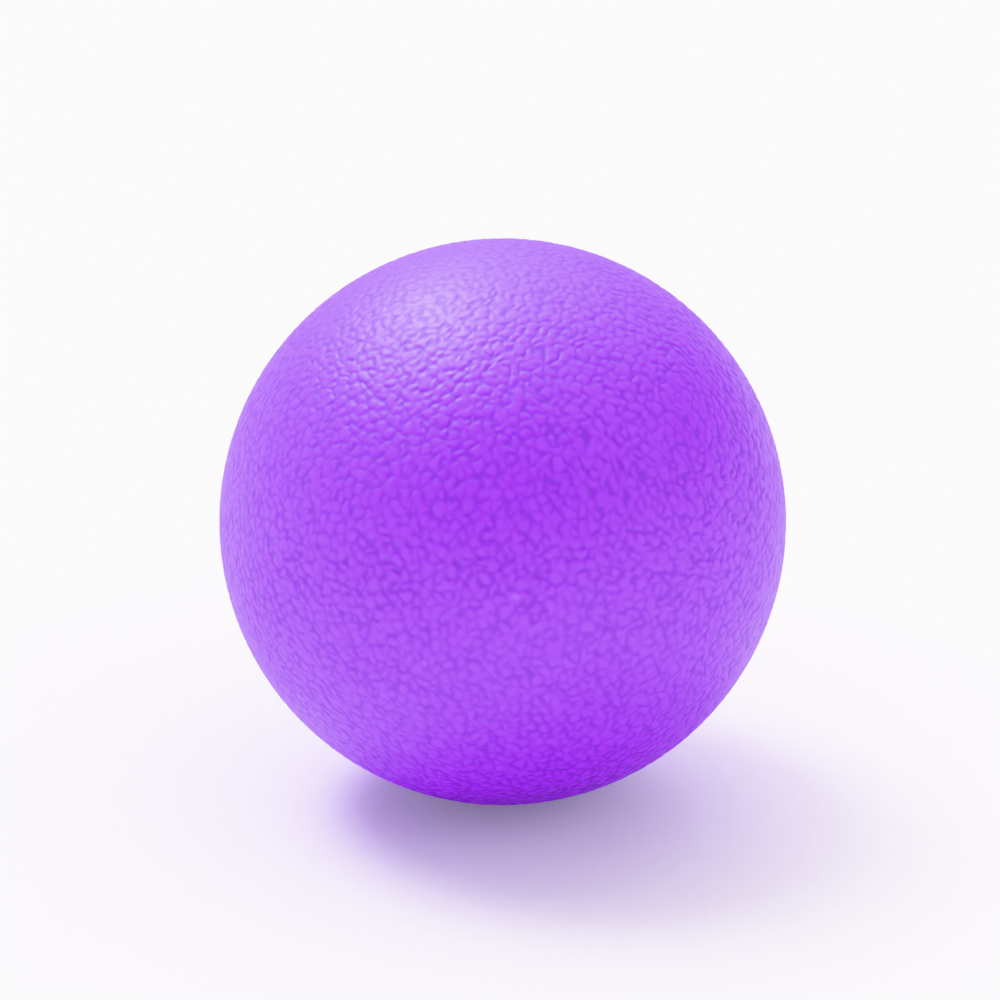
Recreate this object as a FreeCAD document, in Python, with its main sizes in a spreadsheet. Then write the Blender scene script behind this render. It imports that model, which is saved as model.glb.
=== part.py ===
import FreeCAD, Part
import itertools
import math
import os

# A hand massage ball of solid elastomer. A section this thick would sink and leave voids if it
# were moulded in one shot, so it is three mouldings, each one moulded over the last:
#   core          the first shot, a small ball with six pegs that centre it in the next mould
#   middle_layer  the second shot, a thick shell round the core and its pegs, with eight seats
#                 where the last mould's retracting pins hold it
#   outer_cover   the last shot, the layer that a hand feels, which fills the seats
# They meet face to face, and the pegs and seats lock each layer to the next.
# Lengths are in millimetres. The origin is the ball's centre, and +Z is up.

DIMENSIONS = (
    ("ball_diameter", 63.0, "outside of the outer cover"),
    ("middle_diameter", 44.0, "outside of the second shot"),
    ("core_diameter", 24.0, "ball of the first shot, without its pegs"),
    ("peg_inner_radius", 3.2, "radius of a peg's taper, carried in to the ball's centre"),
    ("peg_tip_radius", 1.6, "radius of a peg's tip, flush with the second shot"),
    ("seat_radius", 2.5, "radius of a seat for a retracting pin"),
    ("seat_depth", 1.2, "depth of a seat, measured in from the second shot's outside"),
)
PEG_DIRECTIONS = (
    FreeCAD.Vector(1, 0, 0),
    FreeCAD.Vector(-1, 0, 0),
    FreeCAD.Vector(0, 1, 0),
    FreeCAD.Vector(0, -1, 0),
    FreeCAD.Vector(0, 0, 1),
    FreeCAD.Vector(0, 0, -1),
)
SEAT_DIRECTIONS = tuple(
    FreeCAD.Vector(*signs) for signs in itertools.product((-1, 1), repeat=3)
)
VOLUME_TOLERANCE = 1e-4  # share of the ball's volume that the layers' sum may miss it by


def fill_sheet(doc):
    """The driving dimensions, one row each: alias, value and what it measures."""
    sheet = doc.addObject("Spreadsheet::Sheet", "Dimensions")
    for row, (alias, value, meaning) in enumerate(DIMENSIONS, start=1):
        sheet.set(f"A{row}", alias)
        sheet.set(f"B{row}", str(value))
        sheet.set(f"C{row}", meaning)
        sheet.setAlias(f"B{row}", alias)
    doc.recompute()
    return sheet


def add_feature(doc, kind, name, **expressions):
    """A Part feature whose named properties are bound to expressions on the sheet."""
    feature = doc.addObject(kind, name)
    for property_name, expression in expressions.items():
        feature.setExpression(property_name, expression)
    return feature


def aim_from_centre(feature, direction):
    """Turns a feature built along +Z from the origin so that it points along direction."""
    turn = FreeCAD.Rotation(FreeCAD.Vector(0, 0, 1), direction)
    feature.Placement = FreeCAD.Placement(FreeCAD.Vector(0, 0, 0), turn)


def cut(doc, name, base, tool):
    """base with tool taken out of it."""
    feature = doc.addObject("Part::Cut", name)
    feature.Base = base
    feature.Tool = tool
    return feature


def fuse(doc, name, shapes):
    """All the shapes as one."""
    feature = doc.addObject("Part::MultiFuse", name)
    feature.Shapes = shapes
    return feature


def make_core(doc, middle_ball):
    """The first shot: a ball and six tapered pegs, whose tips lie in the second shot's outside."""
    ball = add_feature(doc, "Part::Sphere", "CoreBall", Radius="Dimensions.core_diameter / 2")
    shapes = [ball]
    for index, direction in enumerate(PEG_DIRECTIONS, start=1):
        # The taper runs from the centre out to the cover's surface, past where it is trimmed.
        peg = add_feature(
            doc,
            "Part::Cone",
            f"CorePeg{index}",
            Radius1="Dimensions.peg_inner_radius",
            Radius2="Dimensions.peg_inner_radius"
            " - (Dimensions.peg_inner_radius - Dimensions.peg_tip_radius)"
            " * Dimensions.ball_diameter / Dimensions.middle_diameter",
            Height="Dimensions.ball_diameter / 2",
        )
        aim_from_centre(peg, direction)
        shapes.append(peg)
    core = doc.addObject("Part::Common", "Core")
    core.Base = fuse(doc, "CoreUntrimmed", shapes)
    core.Tool = middle_ball
    core.Label = "core"
    return core


def make_seats(doc):
    """Eight round plugs between the floor of the seats and the ball's surface."""
    plugs = []
    for index, direction in enumerate(SEAT_DIRECTIONS, start=1):
        plug = add_feature(
            doc,
            "Part::Cylinder",
            f"SeatPlug{index}",
            Radius="Dimensions.seat_radius",
            Height="Dimensions.ball_diameter / 2",
        )
        aim_from_centre(plug, direction)
        plugs.append(plug)
    floor = add_feature(
        doc,
        "Part::Sphere",
        "SeatFloor",
        Radius="Dimensions.middle_diameter / 2 - Dimensions.seat_depth",
    )
    return cut(doc, "Seats", fuse(doc, "SeatPlugs", plugs), floor)


def make_layers(doc):
    """The three mouldings, from the inside out."""
    middle_ball = add_feature(
        doc, "Part::Sphere", "MiddleBall", Radius="Dimensions.middle_diameter / 2"
    )
    core = make_core(doc, middle_ball)

    middle_outside = cut(doc, "MiddleOutside", middle_ball, make_seats(doc))
    middle_layer = cut(doc, "MiddleLayer", middle_outside, core)
    middle_layer.Label = "middle_layer"

    cover_ball = add_feature(
        doc, "Part::Sphere", "CoverBall", Radius="Dimensions.ball_diameter / 2"
    )
    outer_cover = cut(doc, "OuterCover", cover_ball, middle_outside)
    outer_cover.Label = "outer_cover"
    return [core, middle_layer, outer_cover]


def check_layers(doc, sheet, layers):
    """Stops if a feature failed, or if the layers don't fill the ball exactly once."""
    for feature in doc.Objects:
        if "Invalid" in feature.State or "Error" in feature.State:
            raise RuntimeError(f"{feature.Name} failed: {feature.State}")
    for layer in layers:
        if layer.Shape.isNull() or not layer.Shape.isValid():
            raise RuntimeError(f"{layer.Label} has no valid shape")
        if len(layer.Shape.Solids) != 1:
            raise RuntimeError(f"{layer.Label} has {len(layer.Shape.Solids)} solids")
        print(f"{layer.Label}: {layer.Shape.Volume:.1f} mm3")
    ball_volume = math.pi / 6 * sheet.ball_diameter**3
    filled = sum(layer.Shape.Volume for layer in layers)
    if abs(filled - ball_volume) > VOLUME_TOLERANCE * ball_volume:
        raise RuntimeError(f"the layers fill {filled:.1f} of {ball_volume:.1f} mm3")


def main():
    doc = FreeCAD.newDocument("massage_ball")
    sheet = fill_sheet(doc)
    layers = make_layers(doc)
    doc.recompute()
    check_layers(doc, sheet, layers)
    os.makedirs("parts", exist_ok=True)
    for layer in layers:
        layer.Shape.exportStep(f"parts/{layer.Label}.step")


main()
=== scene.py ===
import math

import bpy
import numpy as np
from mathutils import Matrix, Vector


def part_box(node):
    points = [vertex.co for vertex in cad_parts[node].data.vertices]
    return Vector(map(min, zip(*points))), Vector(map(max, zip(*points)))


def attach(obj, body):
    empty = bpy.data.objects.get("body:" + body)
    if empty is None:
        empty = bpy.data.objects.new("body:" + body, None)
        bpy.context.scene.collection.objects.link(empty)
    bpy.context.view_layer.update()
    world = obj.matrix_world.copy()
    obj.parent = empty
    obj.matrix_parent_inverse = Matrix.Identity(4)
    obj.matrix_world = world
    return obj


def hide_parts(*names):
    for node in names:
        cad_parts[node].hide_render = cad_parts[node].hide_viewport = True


# The looks of a moulded massage ball. The cover's leather grain is real geometry: a net of soft
# creases round irregular plates, pressed into a dense sphere. The ball's centre is the origin.

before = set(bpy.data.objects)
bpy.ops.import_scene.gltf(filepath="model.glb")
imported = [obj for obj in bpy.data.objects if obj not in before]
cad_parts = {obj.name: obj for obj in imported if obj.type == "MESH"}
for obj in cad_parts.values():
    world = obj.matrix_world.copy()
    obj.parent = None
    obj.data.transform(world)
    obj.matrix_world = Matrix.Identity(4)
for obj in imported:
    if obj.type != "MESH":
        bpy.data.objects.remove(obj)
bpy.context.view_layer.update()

MM = 0.001
SEED = 11

# The grain, in metres unless it says otherwise.
MESH_STEPS = 330  # quads along each edge of the cube that the sphere's mesh is projected from
PLATE_SPACING = 1.18 * MM
PLATE_JITTER = 0.40  # how far a plate's seed strays, as a share of the spacing
EVENING_ROUNDS = 4  # times that crowded seeds push one another apart
EVENING_PUSH = 0.35  # how far each push moves a seed, as a share of what the spacing lacks
PLATE_SIZE_SPREAD = 0.15  # natural log of the plates' size, one standard deviation
STRETCH_MEAN = 0.12  # natural log of a plate's length over its mean width
STRETCH_SPREAD = 0.10
FLOW_WAVELENGTH = 34 * MM  # over which the plates' long axes turn
FLOW_JITTER = 0.40  # radians that a plate's axis strays from the flow, one standard deviation
WARPS = ((2.6 * MM, 0.12 * MM), (1.1 * MM, 0.09 * MM))  # wavelength and reach of each
WAVELENGTH_SPREAD = 0.25  # natural log of a field's wavelengths, one standard deviation
COARSE_WAVES = 14  # sine waves in a field
FINE_WAVES = 40  # sine waves in a field as fine as the plates
RAGGED_WAVELENGTH = 1.0 * MM
RAGGED_AMOUNT = 0.17  # how far the creases are broken up and thickened, one deviation
PLATE_TOP = 0.85  # how clear of the creases the flat of a plate begins
CREASE_DEPTH = 0.095 * MM
CREASE_WIDTH = 0.185 * MM
CREASE_STRENGTH = 0.60  # mean share of the full depth that a crease has
CREASE_STRENGTH_SPREAD = 0.28  # one standard deviation
CREASE_STRENGTH_LEAST = 0.12
CREASE_FADE_WAVELENGTH = 1.7 * MM  # over which the creases' strength changes
DOME_HEIGHT = 0.036 * MM
DOME_REACH = 0.40 * MM
SHADE_GAIN = 1.5  # a crease of two thirds of the full depth has the full shade
SHADE_EDGE = 0.18  # shade at the very edge of a plate, before a crease adds to it
SHADE_REACH = 0.28 * MM  # how far the creases' painted shade and duller skin reach over the plates
TILT = 0.012  # slope of a plate's top, one standard deviation
SOFTENING = 1  # times that the grain is blurred, each by about 0.1 mm, as moulding rounds it
PIPS = (  # small pale nibs left by pits in the mould: direction and radius
    ((0.04, -1.0, 0.06), 0.42 * MM),
    ((-0.25, -0.95, -0.18), 0.34 * MM),
    ((0.66, -0.74, -0.15), 0.28 * MM),
)
PIP_HEIGHT = 0.05 * MM  # above the sphere
PIP_TONE = 3.0  # plates' tones run from -1 to 1

# How the grain is worked out.
NEIGHBOURS = 4  # nearest plates whose edges shape a point
CANDIDATES = 28  # nearest seeds that are tried for each point
SLOWEST_RATE = 0.3  # least slope that turns a difference of distances into an edge's distance
POINT_CHUNK = 50000  # points worked on at a time
CUBE_CHUNK = 500  # about how many cubes of space are worked on at a time
BELOW_ONE = 0.999999  # keeps a point on the ball's far side in the last cube of space
TINY = 1e-9  # keeps a distance above nothing where it divides

# The cover's look, in linear colours. A ramp's stops each have a place and a colour.
NOISE_LOW, NOISE_HIGH = 0.3, 0.7  # between which most of a noise's values lie
PLATE_COLOURS = (  # by tone: the darkest plate, the palest plate and a nib
    (0.0, (0.319, 0.001, 0.780)),
    (0.5, (0.345, 0.0015, 0.834)),
    (1.0, (0.427, 0.035, 0.924)),
)
# the creases' darker colour: partly the rubber's own, partly painted shade in the creases
CREASE_TONE_AND_SHADE_COLOURS = ((NOISE_LOW, (0.161, 0.014, 0.455)), (NOISE_HIGH, (0.175, 0.017, 0.495)))
CREASE_COLOUR_PATCH = 6 * MM
PLATE_ROUGHNESS = 0.43
CREASE_ROUGHNESS = 0.60
SMUDGE_ROUGHNESS = 0.04  # added or taken off in patches
SMUDGE_PATCH = 9 * MM
MATTE_SIZE = 0.22 * MM  # the fine matte bump that the mould's blasted skin leaves
MATTE_STRENGTH = 0.35
MATTE_DEPTH = 0.02 * MM
COVER_IOR = 1.55

# The Mix node's sockets where it mixes colours.
MIX_FACTOR, MIX_FIRST, MIX_SECOND, MIX_RESULT = 0, 6, 7, 2

# The inner rubbers' look: dark and pale flow marks, and a faint pebble.
MIDDLE_COLOURS = ((NOISE_LOW, (0.19, 0.03, 0.46)), (NOISE_HIGH, (0.26, 0.05, 0.55)))
CORE_COLOURS = ((NOISE_LOW, (0.09, 0.02, 0.20)), (NOISE_HIGH, (0.14, 0.03, 0.27)))
FLOW_MARK_SIZE = 7 * MM
FLOW_MARK_DISTORTION = 1.2
PEBBLE_SIZE = 0.5 * MM
PEBBLE_ROUGHNESS = (0.55, 0.75)
PEBBLE_STRENGTH = 0.4
PEBBLE_DEPTH = 0.05 * MM

# The studio is a white world with a pale band round its horizon and soft glows, each with a
# direction, a sharpness and a strength. The floor is lit from below as a shooting table is.
AMBIENT = 0.30
HORIZON_STRENGTH = 1.6
HORIZON_SHARPNESS = 12
GLOWS = (
    ((0.0, 0.0, 1.0), 4, 0.8),
    ((-0.39, 0.28, 0.88), 60, 54.0),
    ((-0.36, 0.43, 0.83), 90, 16.0),
    ((0.0, 0.55, 0.83), 12, 4.4),
    ((0.70, -0.40, 0.59), 20, 2.3),
    ((0.59, 0.47, 0.66), 150, 1.8),
    ((-0.10, 0.75, 0.66), 60, 1.4),
)
WHITE = (1.0, 1.0, 1.0, 1.0)
FLOOR_COLOUR = (0.76, 0.745, 0.75, 1.0)
FLOOR_GLOW = 0.13
FLOOR_ROUGHNESS = 0.9
FLOOR_HALF_WIDTH = 3.0  # metres

CAMERA_LENS_MM = 85.0
CAMERA_ELEVATION = 17.0  # degrees
BALL_SHARE = 0.5676  # of the frame's width that the ball's outline takes
AIM_ABOVE = 0.0214  # how far above the ball's centre it aims, as a share of the frame's width
AIM_LEFT = 0.0027  # and how far left of it
CAMERA_CLIP_END = 20.0  # metres


# ---------------------------------------------------------------- fields on the sphere


def wave_field(points, wavelength, rng, waves=COARSE_WAVES):
    """A smooth random field with no direction of its own: a sum of sine waves, of unit variance."""
    directions = rng.normal(size=(waves, 3))
    directions /= np.linalg.norm(directions, axis=1, keepdims=True)
    lengths = wavelength * np.exp(rng.normal(scale=WAVELENGTH_SPREAD, size=(waves, 1)))
    phases = rng.uniform(0, 2 * math.pi, waves)
    angles = points @ (2 * math.pi * directions / lengths).T + phases
    return np.sin(angles).sum(axis=1) * math.sqrt(2 / waves)


def wave_vectors(points, wavelength, rng):
    """Three such fields side by side, as a vector at each point."""
    return np.stack([wave_field(points, wavelength, rng) for _ in range(3)], axis=1)


def unit(vectors):
    """The vectors at length 1."""
    return vectors / np.linalg.norm(vectors, axis=-1, keepdims=True)


def spread_points(count):
    """Points spread evenly over the unit sphere, along a golden-angle spiral."""
    index = np.arange(count) + 0.5
    height = 1 - 2 * index / count
    turn = index * math.pi * (3 - math.sqrt(5))
    ring = np.sqrt(1 - height**2)
    return np.stack([ring * np.cos(turn), ring * np.sin(turn), height], axis=1)


def cube_sphere(steps):
    """Unit vertices and quads of a sphere projected from a cube's faces, of nearly even size."""
    line = np.arange(steps + 1)
    first, second = np.meshgrid(line, line, indexing="ij")
    corners = first[:-1, :-1].ravel() * (steps + 1) + second[:-1, :-1].ravel()
    around = np.array([0, steps + 1, steps + 2, 1])
    lattice, quads = [], []
    for axis in range(3):
        for side in (0, steps):
            grid = np.empty(first.shape + (3,), np.int64)
            grid[..., axis] = side
            grid[..., (axis + 1) % 3] = first
            grid[..., (axis + 2) % 3] = second
            turn = around if side else around[::-1]
            quads.append(corners[:, None] + turn + len(lattice) * first.size)
            lattice.append(grid.reshape(-1, 3))
    lattice = np.concatenate(lattice)
    key = (lattice * (steps + 1) ** np.arange(3)).sum(axis=1)
    _, kept, shared = np.unique(key, return_index=True, return_inverse=True)
    vertices = unit(np.tan((2 * lattice[kept] / steps - 1) * math.pi / 4))
    return vertices, shared[np.concatenate(quads)]


# ---------------------------------------------------------------- the leather grain


def neighbourhoods(points, centres, radius):
    """For each point, the numbers of the seeds nearest to the small cube of space it is in."""
    buckets = round(2 * radius / PLATE_SPACING)
    cell = np.floor((points / radius + 1) / 2 * buckets * BELOW_ONE).astype(np.int64)
    key = (cell * buckets ** np.arange(3)).sum(axis=1)
    _, sample, bucket = np.unique(key, return_index=True, return_inverse=True)
    middles = unit((cell[sample] + 0.5) / buckets * 2 - 1) * radius
    nearest = []
    for part in np.array_split(middles, 1 + len(middles) // CUBE_CHUNK):
        closeness = part @ centres.T
        nearest.append(np.argpartition(-closeness, CANDIDATES, axis=1)[:, :CANDIDATES])
    return np.concatenate(nearest)[bucket]


def even_out(centres, radius):
    """Pushes crowded seeds apart."""
    near = neighbourhoods(centres, centres, radius)
    for _ in range(EVENING_ROUNDS):
        gap = centres[:, None, :] - centres[near]
        distance = np.linalg.norm(gap, axis=2, keepdims=True) + TINY
        push = gap / distance * np.maximum(PLATE_SPACING - distance, 0)
        centres = unit(centres + EVENING_PUSH * push.sum(axis=1)) * radius
    return centres


def make_plates(radius, rng):
    """The seed of each plate of the grain, with its two axes, scaled to its own shape and size."""
    count = round(4 * math.pi * radius**2 / PLATE_SPACING**2)
    centres = spread_points(count) * radius
    centres += rng.normal(scale=PLATE_JITTER * PLATE_SPACING / math.sqrt(2), size=(count, 3))
    centres = even_out(unit(centres) * radius, radius)
    normals = unit(centres)
    flow = wave_vectors(centres, FLOW_WAVELENGTH, rng)
    along = unit(flow - (flow * normals).sum(axis=1, keepdims=True) * normals)
    across = np.cross(normals, along)
    stray = rng.normal(scale=FLOW_JITTER, size=(count, 1))
    along, across = (
        along * np.cos(stray) + across * np.sin(stray),
        across * np.cos(stray) - along * np.sin(stray),
    )
    stretch = np.exp(rng.normal(STRETCH_MEAN, STRETCH_SPREAD, (count, 1)))
    size = np.exp(rng.normal(0, PLATE_SIZE_SPREAD, (count, 1)))
    return {
        "centre": centres,
        "along": along / (stretch * size),
        "across": across * stretch / size,
        "tilt": np.cross(normals, rng.normal(scale=TILT, size=(count, 3))),
        "tone": rng.uniform(-1, 1, count),
    }


def pick(values, order):
    """values[row, order[row]] for a table with one row per point."""
    if values.ndim == 3:
        order = order[:, :, None]
    return np.take_along_axis(values, order, axis=1)


def plate_edges(points, seeds, plates):
    """Each point's distance to its plate's nearest edges, and that plate's number."""
    offset = points[:, None, :] - plates["centre"][seeds]
    along = plates["along"][seeds]
    across = plates["across"][seeds]
    u = (offset * along).sum(axis=2)
    v = (offset * across).sum(axis=2)
    distance = np.sqrt(u**2 + v**2) + TINY
    order = np.argpartition(distance, NEIGHBOURS, axis=1)[:, :NEIGHBOURS]
    order = pick(order, np.argsort(pick(distance, order), axis=1))
    near = pick(distance, order)
    slope = pick(along, order) * (pick(u, order) / near)[:, :, None]
    slope += pick(across, order) * (pick(v, order) / near)[:, :, None]
    rate = np.linalg.norm(slope[:, 1:] - slope[:, :1], axis=2)
    edges = (near[:, 1:] - near[:, :1]) / np.maximum(rate, SLOWEST_RATE)
    return edges, pick(seeds, order)[:, 0]


def grain(points, radius):
    """The grain at points on the ball: height, crease shade and plate tone.

    The height is over the sphere, and only the nibs rise above it.
    """
    rng = np.random.default_rng(SEED)
    plates = make_plates(radius, rng)
    warped = points.copy()
    for wavelength, reach in WARPS:
        warped += reach * wave_vectors(points, wavelength, rng)
    candidates = neighbourhoods(points, plates["centre"], radius)
    top = np.empty(len(points))
    edge = np.empty(len(points))
    plate = np.empty(len(points), np.int64)
    for start in range(0, len(points), POINT_CHUNK):
        part = slice(start, start + POINT_CHUNK)
        edges, plate[part] = plate_edges(warped[part], candidates[part], plates)
        top[part] = (1 - np.exp(-((edges / CREASE_WIDTH) ** 2))).prod(axis=1)
        edge[part] = edges.min(axis=1)
    top += RAGGED_AMOUNT * wave_field(points, RAGGED_WAVELENGTH, rng, FINE_WAVES)
    top = np.clip(top / PLATE_TOP, 0, 1)
    top = top**2 * (3 - 2 * top)
    fade = wave_field(points, CREASE_FADE_WAVELENGTH, rng, FINE_WAVES)
    strength = np.clip(CREASE_STRENGTH + CREASE_STRENGTH_SPREAD * fade, CREASE_STRENGTH_LEAST, 1)
    crease = (1 - top) * strength
    dome = DOME_HEIGHT * (1 - np.exp(-edge / DOME_REACH))
    lean = ((points - plates["centre"][plate]) * plates["tilt"][plate]).sum(axis=1)
    height = dome + top * lean - CREASE_DEPTH * crease
    height -= height.max()
    # painted shade in the creases and round the plates' edges, which also makes them duller
    shade = np.clip(SHADE_GAIN * crease + SHADE_EDGE * np.exp(-edge / SHADE_REACH), 0, 1)
    tone = plates["tone"][plate] * top
    for direction, reach in PIPS:
        away = np.linalg.norm(points - unit(np.array(direction)) * radius, axis=1)
        pip = np.exp(-((away / reach) ** 4))
        height += (PIP_HEIGHT - PIP_HEIGHT * away**2 / reach**2 - height) * pip
        shade *= 1 - pip
        tone += (PIP_TONE - tone) * pip
    return height, shade, tone


# ---------------------------------------------------------------- meshes


def mesh_object(name, vertices, quads, triangles):
    """A smooth-shaded object from arrays of vertices, quads and triangles."""
    mesh = bpy.data.meshes.new(name)
    mesh.vertices.add(len(vertices))
    mesh.vertices.foreach_set("co", vertices.astype(np.float32).ravel())
    corners = np.concatenate([quads.ravel(), triangles.ravel()]).astype(np.int32)
    mesh.loops.add(len(corners))
    mesh.loops.foreach_set("vertex_index", corners)
    starts = np.concatenate(
        [np.arange(len(quads)) * 4, quads.size + np.arange(len(triangles)) * 3]
    )
    mesh.polygons.add(len(starts))
    mesh.polygons.foreach_set("loop_start", starts.astype(np.int32))
    mesh.update(calc_edges=True)
    mesh.shade_smooth()
    made = bpy.data.objects.new(name, mesh)
    bpy.context.scene.collection.objects.link(made)
    return made


def add_attribute(made, name, values):
    """Stores one number per vertex, for the material to read."""
    stored = made.data.attributes.new(name, "FLOAT", "POINT")
    stored.data.foreach_set("value", values.astype(np.float32))


def soften(values, quads):
    """Values at the vertices, blurred over the quads round each one."""
    corners = quads.ravel()
    share = np.bincount(corners)
    for _ in range(SOFTENING):
        values = np.bincount(corners, np.repeat(values[quads].mean(axis=1), 4)) / share
    return values


def inner_wall(node, radius):
    """The vertices and triangles of a CAD node's faces that lie inside that radius."""
    mesh = node.data
    mesh.calc_loop_triangles()
    vertices = np.empty(len(mesh.vertices) * 3, np.float32)
    mesh.vertices.foreach_get("co", vertices)
    vertices = vertices.reshape(-1, 3)
    triangles = np.empty(len(mesh.loop_triangles) * 3, np.int32)
    mesh.loop_triangles.foreach_get("vertices", triangles)
    triangles = triangles.reshape(-1, 3)
    inside = np.linalg.norm(vertices, axis=1) < radius
    triangles = triangles[inside[triangles].all(axis=1)]
    used, renumbered = np.unique(triangles, return_inverse=True)
    return vertices[used], renumbered.reshape(-1, 3)


def make_cover():
    """The moulded cover: a grained outside, and the CAD cover's own inside wall."""
    low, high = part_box("outer_cover")
    middle_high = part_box("middle_layer")[1]
    radius = (high.z - low.z) / 2
    directions, quads = cube_sphere(MESH_STEPS)
    height, shade, tone = grain(directions * radius, radius)
    outside = directions * (radius + soften(height, quads))[:, None]
    wall, triangles = inner_wall(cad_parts["outer_cover"], (radius + middle_high.z) / 2)
    cover = mesh_object(
        "grained_cover", np.concatenate([outside, wall]), quads, triangles + len(outside)
    )
    bare = np.zeros(len(wall))
    # the crease attribute carries the creases' painted shade and their duller skin
    add_attribute(cover, "crease", np.concatenate([soften(shade, quads), bare]))
    add_attribute(cover, "tone", np.concatenate([tone, bare]))
    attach(cover, "root")
    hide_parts("outer_cover")
    return cover


# ---------------------------------------------------------------- materials


def new_material(name):
    """A material, its node tree and its shader."""
    material = bpy.data.materials.new(name)
    material.use_nodes = True
    return material, material.node_tree, material.node_tree.nodes["Principled BSDF"]


def object_position(tree):
    """Positions on the piece, in metres."""
    return tree.nodes.new("ShaderNodeTexCoord").outputs["Object"]


def attribute(tree, name):
    """A number stored at the vertices."""
    node = tree.nodes.new("ShaderNodeAttribute")
    node.attribute_name = name
    return node.outputs["Fac"]


def noise(tree, coordinates, size, detail=2.0, distortion=0.0):
    """Noise whose features are about size metres across."""
    node = tree.nodes.new("ShaderNodeTexNoise")
    node.inputs["Scale"].default_value = 1 / size
    node.inputs["Detail"].default_value = detail
    node.inputs["Distortion"].default_value = distortion
    tree.links.new(coordinates, node.inputs["Vector"])
    return node.outputs[0]


def ramp(tree, value, stops):
    """A colour ramp over (position, colour) stops."""
    node = tree.nodes.new("ShaderNodeValToRGB")
    elements = node.color_ramp.elements
    while len(elements) < len(stops):
        elements.new(1.0)
    for element, (position, colour) in zip(elements, stops, strict=True):
        element.position = position
        element.color = (*colour, 1.0)
    tree.links.new(value, node.inputs["Fac"])
    return node.outputs[0]


def remap(tree, value, low, high, from_low=0.0, from_high=1.0):
    """value moved from one range to another, and kept inside it."""
    node = tree.nodes.new("ShaderNodeMapRange")
    node.inputs["From Min"].default_value = from_low
    node.inputs["From Max"].default_value = from_high
    node.inputs["To Min"].default_value = low
    node.inputs["To Max"].default_value = high
    tree.links.new(value, node.inputs["Value"])
    return node.outputs[0]


def math_node(tree, operation, first, second):
    """first and second may each be a socket or a number."""
    node = tree.nodes.new("ShaderNodeMath")
    node.operation = operation
    for socket, value in zip(node.inputs, (first, second)):
        if isinstance(value, (int, float)):
            socket.default_value = value
        else:
            tree.links.new(value, socket)
    return node.outputs[0]


def mix_colours(tree, factor, first, second):
    """Two colours mixed by factor."""
    node = tree.nodes.new("ShaderNodeMix")
    node.data_type = "RGBA"
    tree.links.new(factor, node.inputs[MIX_FACTOR])
    tree.links.new(first, node.inputs[MIX_FIRST])
    tree.links.new(second, node.inputs[MIX_SECOND])
    return node.outputs[MIX_RESULT]


def add_bump(tree, shader, height, strength, depth):
    """Roughens the shader's normal."""
    bump = tree.nodes.new("ShaderNodeBump")
    bump.inputs["Strength"].default_value = strength
    bump.inputs["Distance"].default_value = depth
    tree.links.new(height, bump.inputs["Height"])
    tree.links.new(bump.outputs[0], shader.inputs["Normal"])


def cover_material():
    """Pigmented thermoplastic rubber: satin plates, duller creases darkened partly by painted
    shade, faint mottling.
    """
    material, tree, shader = new_material("cover_rubber")
    position = object_position(tree)
    crease = attribute(tree, "crease")

    tone = remap(tree, attribute(tree, "tone"), 0, 1, -1, PIP_TONE)
    plate_colour = ramp(tree, tone, PLATE_COLOURS)
    crease_tone_and_shade = ramp(tree, noise(tree, position, CREASE_COLOUR_PATCH), CREASE_TONE_AND_SHADE_COLOURS)
    # darkens the creases: partly the rubber's own colour, partly painted shade
    colour = mix_colours(tree, crease, plate_colour, crease_tone_and_shade)
    tree.links.new(colour, shader.inputs["Base Color"])

    smudge = noise(tree, position, SMUDGE_PATCH, detail=3.0)
    smudge = remap(tree, smudge, -SMUDGE_ROUGHNESS, SMUDGE_ROUGHNESS, NOISE_LOW, NOISE_HIGH)
    roughness = remap(tree, crease, PLATE_ROUGHNESS, CREASE_ROUGHNESS)
    roughness = math_node(tree, "ADD", smudge, roughness)
    tree.links.new(roughness, shader.inputs["Roughness"])

    matte = noise(tree, position, MATTE_SIZE, detail=3.0)
    add_bump(tree, shader, matte, MATTE_STRENGTH, MATTE_DEPTH)
    shader.inputs["IOR"].default_value = COVER_IOR
    return material


def inner_material(name, colours):
    """As-moulded inner rubber: matte, with flow marks and a faint pebble."""
    material, tree, shader = new_material(name)
    position = object_position(tree)
    flow = noise(tree, position, FLOW_MARK_SIZE, detail=4.0, distortion=FLOW_MARK_DISTORTION)
    tree.links.new(ramp(tree, flow, colours), shader.inputs["Base Color"])
    pebble = noise(tree, position, PEBBLE_SIZE)
    tree.links.new(remap(tree, pebble, *PEBBLE_ROUGHNESS), shader.inputs["Roughness"])
    add_bump(tree, shader, pebble, PEBBLE_STRENGTH, PEBBLE_DEPTH)
    return material


def dress(piece, material):
    """Gives a piece that one material, on the object as well as on its mesh."""
    piece.data.materials.clear()
    piece.data.materials.append(material)
    for slot in piece.material_slots:
        slot.link = "OBJECT"
        slot.material = material


# ---------------------------------------------------------------- the studio


def make_floor(height):
    """A plain pale floor that the ball rests on."""
    half = FLOOR_HALF_WIDTH
    vertices = np.array([(-half, -half, 0), (half, -half, 0), (half, half, 0), (-half, half, 0)])
    vertices = vertices + (0, 0, height)
    floor = mesh_object(
        "studio_floor", vertices, np.array([(0, 1, 2, 3)]), np.empty((0, 3), np.int64)
    )
    material, _, shader = new_material("floor_paint")
    shader.inputs["Base Color"].default_value = FLOOR_COLOUR
    shader.inputs["Emission Color"].default_value = WHITE
    shader.inputs["Emission Strength"].default_value = FLOOR_GLOW
    shader.inputs["Roughness"].default_value = FLOOR_ROUGHNESS
    dress(floor, material)


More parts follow.
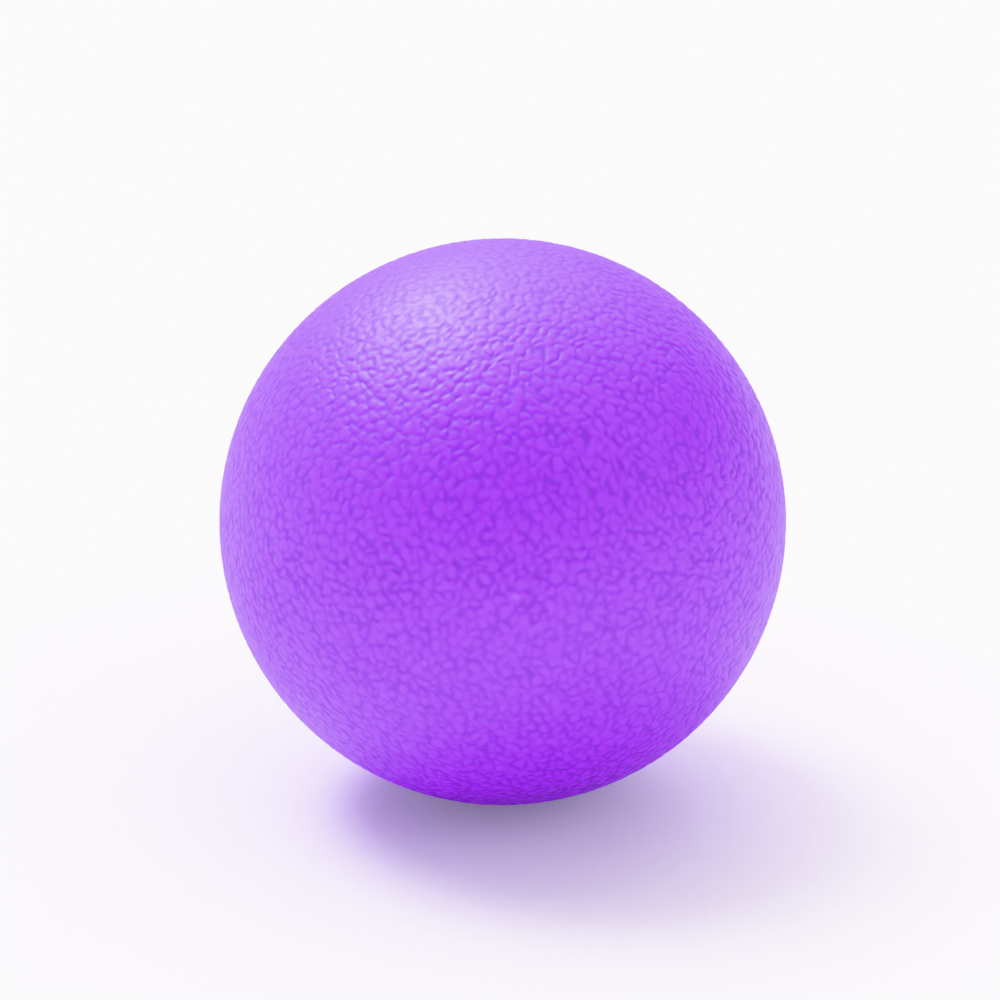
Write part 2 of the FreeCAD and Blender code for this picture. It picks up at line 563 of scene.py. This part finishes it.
def make_world():
    """A white world, brighter round the horizon and toward each glow."""
    world = bpy.data.worlds.new("studio_white")
    world.use_nodes = True
    tree = world.node_tree
    background = tree.nodes["Background"]
    background.inputs["Color"].default_value = WHITE
    direction = tree.nodes.new("ShaderNodeTexCoord").outputs["Generated"]

    def facing(towards):
        dot = tree.nodes.new("ShaderNodeVectorMath")
        dot.operation = "DOT_PRODUCT"
        dot.inputs[1].default_value = Vector(towards).normalized()
        tree.links.new(direction, dot.inputs[0])
        return dot.outputs["Value"]

    def add_glow(total, closeness, sharpness, strength):
        glow = math_node(tree, "POWER", closeness, sharpness)
        glow = math_node(tree, "MULTIPLY", glow, strength)
        return math_node(tree, "ADD", glow, total)

    upward = facing((0, 0, 1))
    steepness = math_node(tree, "MULTIPLY", upward, upward)
    levelness = math_node(tree, "SUBTRACT", 1.0, steepness)
    total = add_glow(AMBIENT, levelness, HORIZON_SHARPNESS, HORIZON_STRENGTH)
    for towards, sharpness, strength in GLOWS:
        closeness = math_node(tree, "MAXIMUM", facing(towards), 0.0)
        total = add_glow(total, closeness, sharpness, strength)
    tree.links.new(total, background.inputs["Strength"])
    bpy.context.scene.world = world


def make_camera(radius):
    """Looks along +Y and a little down, with the ball just below and right of the middle."""
    camera = bpy.data.cameras.new("camera")
    camera.lens = CAMERA_LENS_MM
    half_angle = math.atan(BALL_SHARE * camera.sensor_width / 2 / CAMERA_LENS_MM)
    distance = radius / math.sin(half_angle)
    tilt = math.radians(CAMERA_ELEVATION)
    back = Vector((0, -math.cos(tilt), math.sin(tilt)))
    up = Vector((0, math.sin(tilt), math.cos(tilt)))
    width_at_ball = distance * camera.sensor_width / CAMERA_LENS_MM
    aim = up * (AIM_ABOVE * width_at_ball) - Vector((1, 0, 0)) * (AIM_LEFT * width_at_ball)
    holder = bpy.data.objects.new("camera", camera)
    holder.location = back * distance
    holder.rotation_mode = "QUATERNION"
    holder.rotation_quaternion = (aim - holder.location).to_track_quat("-Z", "Y")
    camera.clip_start, camera.clip_end = distance / 100, CAMERA_CLIP_END
    bpy.context.scene.collection.objects.link(holder)
    bpy.context.scene.camera = holder


def make_studio(radius):
    """The floor, the world, the camera and how the light is turned into colours."""
    bpy.context.scene.view_settings.view_transform = "Khronos PBR Neutral"
    make_floor(-radius)
    make_world()
    make_camera(radius)


# ---------------------------------------------------------------- the scene


def main():
    """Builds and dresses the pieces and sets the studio."""
    dress(make_cover(), cover_material())
    dress(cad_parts["middle_layer"], inner_material("middle_rubber", MIDDLE_COLOURS))
    dress(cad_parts["core"], inner_material("core_rubber", CORE_COLOURS))
    make_studio(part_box("outer_cover")[1].z)


main()
